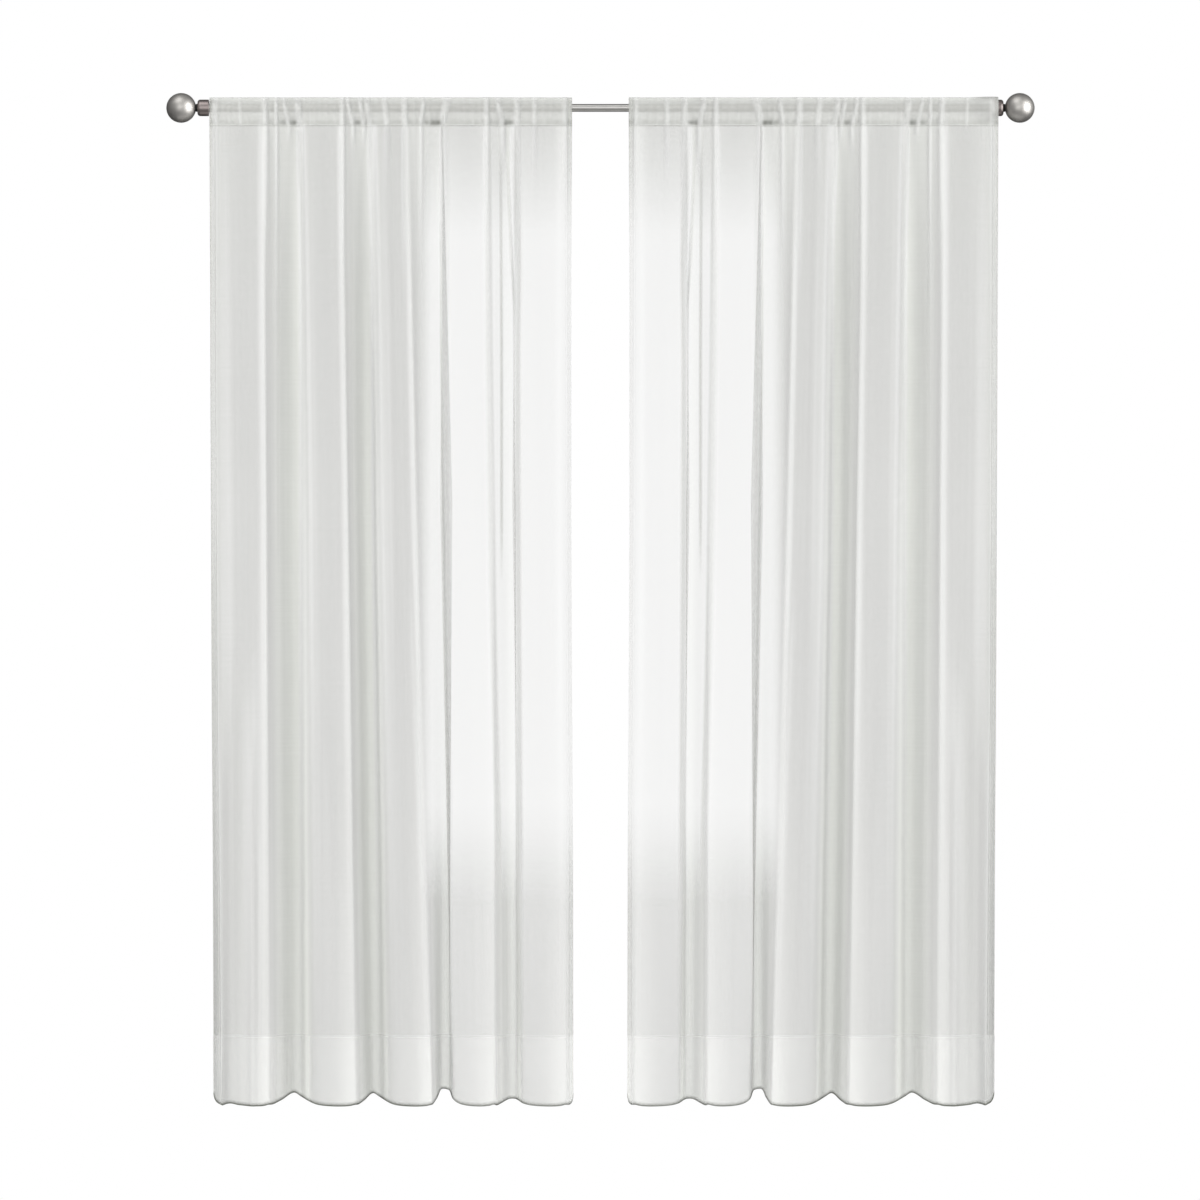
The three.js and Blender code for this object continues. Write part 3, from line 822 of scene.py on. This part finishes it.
def voile():
    """Sheer plain-weave polyester: fine open threads that let light through, whiter where doubled, with
    light and shade painted on along its folds, gathers, seam and hem.
    """
    finish = Finish(bpy.data.materials.new("sheer_voile"))

    def mark(name):
        return finish.node("ShaderNodeAttribute", {"attribute_name": name}, output="Fac")

    place = finish.node("ShaderNodeUVMap", {"uv_map": "cloth"})
    across = finish.node("ShaderNodeSeparateXYZ", inputs={"Vector": place}, output="X")
    up = across.beside("Y")
    warp = (across * (2 * math.pi / WEAVE_PITCH)).sine()
    weft = (up * (2 * math.pi / WEAVE_PITCH)).sine()

    def grain(scale, detail):
        spread = finish.node("ShaderNodeMapping", inputs={"Vector": place, "Scale": scale})
        return finish.noise(spread, detail, flat=True)

    streaks = grain((85.0, 0.6, 1.0), 1.5)
    slubs = grain((7.0, 420.0, 1.0), 1.0)
    clouds = grain((9.0, 3.0, 1.0), 0.0)
    gather, painted_backlight, outer, inner = mark("gather"), mark("painted_backlight"), mark("outer"), mark("inner")
    doubled, ruffle, seam, fold, full = (
        mark(name) for name in ("doubled", "ruffle", "seam", "fold", "full"))

    cover = 0.67 + 0.10 * gather + 0.03 * warp + 0.03 * weft
    cover = cover + 0.035 * (streaks - 0.5) + 0.03 * (slubs - 0.5)
    # the painted backlight thins the inner third; gathers, the seam and the hem's bottom fold are denser
    cover = cover * (1 - 0.68 * painted_backlight) + 0.16 * ruffle + 0.25 * seam + 0.3 * fold
    see_through = (1 - cover).held()
    skin = 1 - see_through ** mark("thinness")

    # Painted fill light: cloth lying deep in the folds is painted lighter and greener.
    tone = finish.blend(inner, (0.424, 0.425, 0.407, 1), (0.585, 0.605, 0.54, 1))
    # Painted highlight: flanks turned towards the outer key light and raised gathers are painted whiter.
    tone = finish.blend((outer + ruffle).held(), tone, (0.61, 0.612, 0.598, 1))
    tone = finish.blend((0.1 * clouds + 0.1 * (streaks - 0.45)).held(), tone, (0.72, 0.722, 0.705, 1))
    tone = finish.blend(doubled, tone, (0.92, 0.928, 0.905, 1))
    # Painted light and shade: the colour is scaled up on ridges and valley sides and down across the faces.
    tone = finish.node("ShaderNodeVectorMath", {"operation": "SCALE"}, {
        "Vector": tone, "Scale": 1 + 0.3 * full})
    # Painted shade above the pocket seam, in the hollows between the gathers and in the valleys, besides
    # the seam's extra layers.
    tone = finish.blend(seam, tone, (0.16, 0.165, 0.145, 1))
    # Painted shade: a dark line along the hem's bottom fold.
    tone = finish.blend(fold, tone, (0.12, 0.13, 0.10, 1))
    yarn = finish.node("ShaderNodeBsdfPrincipled", inputs={
        "Base Color": tone,
        "Roughness": 0.72 + 0.2 * slubs,
        "Specular IOR Level": 0.3,
    })
    glow = finish.node("ShaderNodeBsdfTranslucent", inputs={"Color": (0.66, 0.665, 0.655, 1)})
    cloth = finish.node("ShaderNodeMixShader", inputs={"Fac": 0.3, "Shader": yarn, "Shader_001": glow})
    clear = finish.node("ShaderNodeBsdfTransparent")
    sheer = finish.node("ShaderNodeMixShader", inputs={"Fac": skin, "Shader": clear, "Shader_001": cloth})
    finish.node("ShaderNodeOutputMaterial", inputs={"Surface": sheer})
    return finish.owner


def lock_stitches(thread):
    """A node tree that lays short thread stitches along the edges of a mesh."""
    tree = bpy.data.node_groups.new("lock_stitches", "GeometryNodeTree")
    face = tree.interface
    face.new_socket("Seams", in_out="INPUT", socket_type="NodeSocketGeometry")
    for key, value in STITCH_INPUTS.items():
        kind = "NodeSocketInt" if isinstance(value, int) else "NodeSocketFloat"
        face.new_socket(key, in_out="INPUT", socket_type=kind)
    face.new_socket("Stitches", in_out="OUTPUT", socket_type="NodeSocketGeometry")
    sewing = Finish(tree)
    given = sewing.node("NodeGroupInput", output="Seams")
    line = sewing.node("GeometryNodeMeshToCurve", inputs={"Mesh": given})
    line = sewing.node("GeometryNodeResampleCurve", {"mode": "LENGTH"}, {
        "Curve": line, "Length": given.beside("Pitch")})
    round_thread = sewing.node("GeometryNodeMeshUVSphere", inputs={
        "Segments": 6, "Rings": 4, "Radius": 1.0})
    radius = given.beside("Thread radius")
    size = sewing.node("ShaderNodeCombineXYZ", inputs={
        "X": radius, "Y": radius, "Z": given.beside("Length") * 0.5})
    stitch = sewing.node("GeometryNodeTransform", inputs={"Geometry": round_thread, "Scale": size})
    along = sewing.node("GeometryNodeInputTangent")
    turn = sewing.node("FunctionNodeAlignRotationToVector", {"axis": "Z"}, {"Vector": along})
    uneven_size = sewing.node("FunctionNodeRandomValue", {"data_type": "FLOAT_VECTOR"}, {
        "Min": (0.9, 0.9, 0.86), "Max": (1.1, 1.1, 1.0), "Seed": given.beside("Seed")})
    sewn = sewing.node("GeometryNodeInstanceOnPoints", inputs={
        "Points": line, "Instance": stitch, "Rotation": turn, "Scale": uneven_size})
    sewn = sewing.node("GeometryNodeRealizeInstances", inputs={"Geometry": sewn})
    sewn = sewing.node("GeometryNodeSetMaterial", inputs={"Geometry": sewn, "Material": thread})
    sewing.node("NodeGroupOutput", inputs={"Stitches": sewn})
    return tree


def sewn_along(name, seams, tree):
    """The stitches along a panel's seams, as one plain mesh."""
    guide = bmesh.new()
    for seam in seams:
        knots = [guide.verts.new(point) for point in seam]
        for first, second in zip(knots, knots[1:]):
            guide.edges.new((first, second))
    data = bpy.data.meshes.new(name)
    guide.to_mesh(data)
    guide.free()
    piece = bpy.data.objects.new(name, data)
    bpy.context.scene.collection.objects.link(piece)
    sewing = piece.modifiers.new("sewing", "NODES")
    sewing.node_group = tree
    for socket in tree.interface.items_tree:
        if socket.name in STITCH_INPUTS:
            sewing[socket.identifier] = STITCH_INPUTS[socket.name]
    evaluated = piece.evaluated_get(bpy.context.evaluated_depsgraph_get())
    plain = bpy.data.meshes.new_from_object(evaluated)
    piece.modifiers.clear()
    piece.data = plain
    piece.data.shade_smooth()
    bpy.data.meshes.remove(data)
    return piece


thread_finish = Finish(bpy.data.materials.new("white_thread"))
thread_grain = thread_finish.noise(thread_finish.object_point((900.0, 900.0, 900.0)))
thread_finish.node("ShaderNodeOutputMaterial", inputs={"Surface": thread_finish.node(
    "ShaderNodeBsdfPrincipled", inputs={
        "Base Color": thread_finish.blend(thread_grain, (0.52, 0.525, 0.505, 1), (0.66, 0.662, 0.64, 1)),
        "Roughness": 0.5 + 0.2 * thread_grain})})
stitch_tree = lock_stitches(thread_finish.owner)
sheer_voile = voile()
curtains = {}
for side, panel in PANELS.items():
    curtain, seams = voile_panel(f"voile_panel_{side}", panel, 11)
    curtain.data.materials.append(sheer_voile)
    stitches = sewn_along(f"stitches_{side}", seams, stitch_tree)
    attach(stitches, "root")
    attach(curtain, "root")
    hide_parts(f"curtain_{side}")
    curtains[side] = [curtain, stitches]

# The view and light: straight on from far away, each panel lit softly from its own outer side,
# over a plain pale floor.
CAMERA_DISTANCE = 20.0
FRAME_WIDTH = 2.5404
FRAME_CENTRE = (-0.001, -1.0418)
SENSOR = 36.0
FLOOR_Z = -2.36

camera = bpy.data.objects.new("camera", bpy.data.cameras.new("camera"))
bpy.context.scene.collection.objects.link(camera)
camera.data.sensor_width = SENSOR
camera.data.lens = SENSOR * CAMERA_DISTANCE / FRAME_WIDTH
camera.data.clip_end = 100.0
camera.location = (FRAME_CENTRE[0], -CAMERA_DISTANCE, FRAME_CENTRE[1])
camera.rotation_euler = (math.pi / 2, 0, 0)
bpy.context.scene.camera = camera

floor_mesh = bpy.data.meshes.new("floor")
floor_mesh.from_pydata([
    (-1.7, -1.3, FLOOR_Z),
    (1.7, -1.3, FLOOR_Z),
    (1.7, 0.45, FLOOR_Z),
    (-1.7, 0.45, FLOOR_Z),
], [], [(0, 1, 2, 3)])
floor = bpy.data.objects.new("floor", floor_mesh)
bpy.context.scene.collection.objects.link(floor)
floor_finish = Finish(bpy.data.materials.new("pale_floor"))
floor_grain = floor_finish.noise(floor_finish.object_point((4.0,) * 3))
floor_finish.node("ShaderNodeOutputMaterial", inputs={"Surface": floor_finish.node(
    "ShaderNodeBsdfPrincipled", inputs={
        "Base Color": floor_finish.blend(floor_grain, (0.80, 0.80, 0.79, 1), (0.84, 0.84, 0.83, 1)),
        "Roughness": 0.7})})
floor.data.materials.append(floor_finish.owner)
floor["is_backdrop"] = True

room = Finish(bpy.data.worlds.new("studio"))
bpy.context.scene.world = room.owner
towards = room.node("ShaderNodeTexCoord", output="Generated")
depth = room.node("ShaderNodeSeparateXYZ", inputs={"Vector": towards}, output="Y")
front = (0.5 - 0.5 * depth).held()
above = (0.5 + 0.5 * depth.beside("Z")).held()
soft = room.node("ShaderNodeBackground", inputs={
    "Color": (1, 1, 1, 1), "Strength": 0.04 + 0.35 * front * (0.4 + 1.2 * above)})
white = room.node("ShaderNodeBackground", inputs={"Color": (1, 1, 1, 1), "Strength": 1.0})
seen = room.node("ShaderNodeLightPath", output="Is Camera Ray")
room.node("ShaderNodeOutputWorld", inputs={"Surface": room.node(
    "ShaderNodeMixShader", inputs={"Fac": seen, "Shader": soft, "Shader_001": white})})


def soft_box(name, place, target, size, power, lit, seen_in_metal=False):
    """A rectangular soft light at place, aimed at target, that lights only the objects in lit."""
    light = bpy.data.objects.new(name, bpy.data.lights.new(name, "AREA"))
    bpy.context.scene.collection.objects.link(light)
    light.data.shape = "RECTANGLE"
    light.data.size, light.data.size_y = size
    light.data.energy = power
    light.location = place
    light.rotation_euler = (Vector(target) - Vector(place)).to_track_quat("-Z", "Y").to_euler()
    light.visible_glossy = seen_in_metal
    receivers = bpy.data.collections.new(f"{name}_lit")
    for obj in lit:
        receivers.objects.link(obj)
    light.light_linking.receiver_collection = receivers


metal_pieces = [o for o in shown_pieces() if o.name.startswith(("rod_", "end_cap", "stud", "ball"))]
for side, sign in END_SIDES.items():
    middle = (0.44 * sign, 0, -1.0)
    soft_box(f"key_{side}", (6.6 * sign, -5.4, -0.8), middle, (2.2, 3.0), 540.0, curtains[side])
    soft_box(f"fill_{side}", (-7.4 * sign, -3.0, -1.0), middle, (2.2, 3.0), 235.0, curtains[side])
both = curtains["left"] + curtains["right"]
soft_box("front_light", (0, -17.0, 6.5), (0, 0, -1.1), (6.0, 5.0), 2250.0, both)
soft_box("back_light", (0, 15.0, 4.0), (0, 0, -1.1), (6.0, 5.0), 1300.0, both)
soft_box("floor_light", (0, -1.0, 4.0), (0, -0.4, FLOOR_Z), (4.0, 4.0), 260.0, [floor])
for name, place, size, power in (
    ("metal_key", (9.8, -5.4, 0.9), (8.0, 11.0), 1500.0),
    ("metal_top", (-3.5, -4.5, 9.0), (7.0, 7.0), 300.0),
    ("metal_front", (-3.0, -15.0, 1.0), (9.0, 9.0), 420.0),
):
    soft_box(name, place, (0, 0, 0), size, power, metal_pieces, seen_in_metal=True)
bpy.context.scene.view_settings.view_transform = "Standard"
bpy.context.scene.cycles.transparent_max_bounces = 32
bpy.context.scene.cycles.max_bounces = 3
bpy.context.scene.cycles.diffuse_bounces = 2
bpy.context.scene.cycles.glossy_bounces = 2
bpy.context.scene.cycles.transmission_bounces = 2
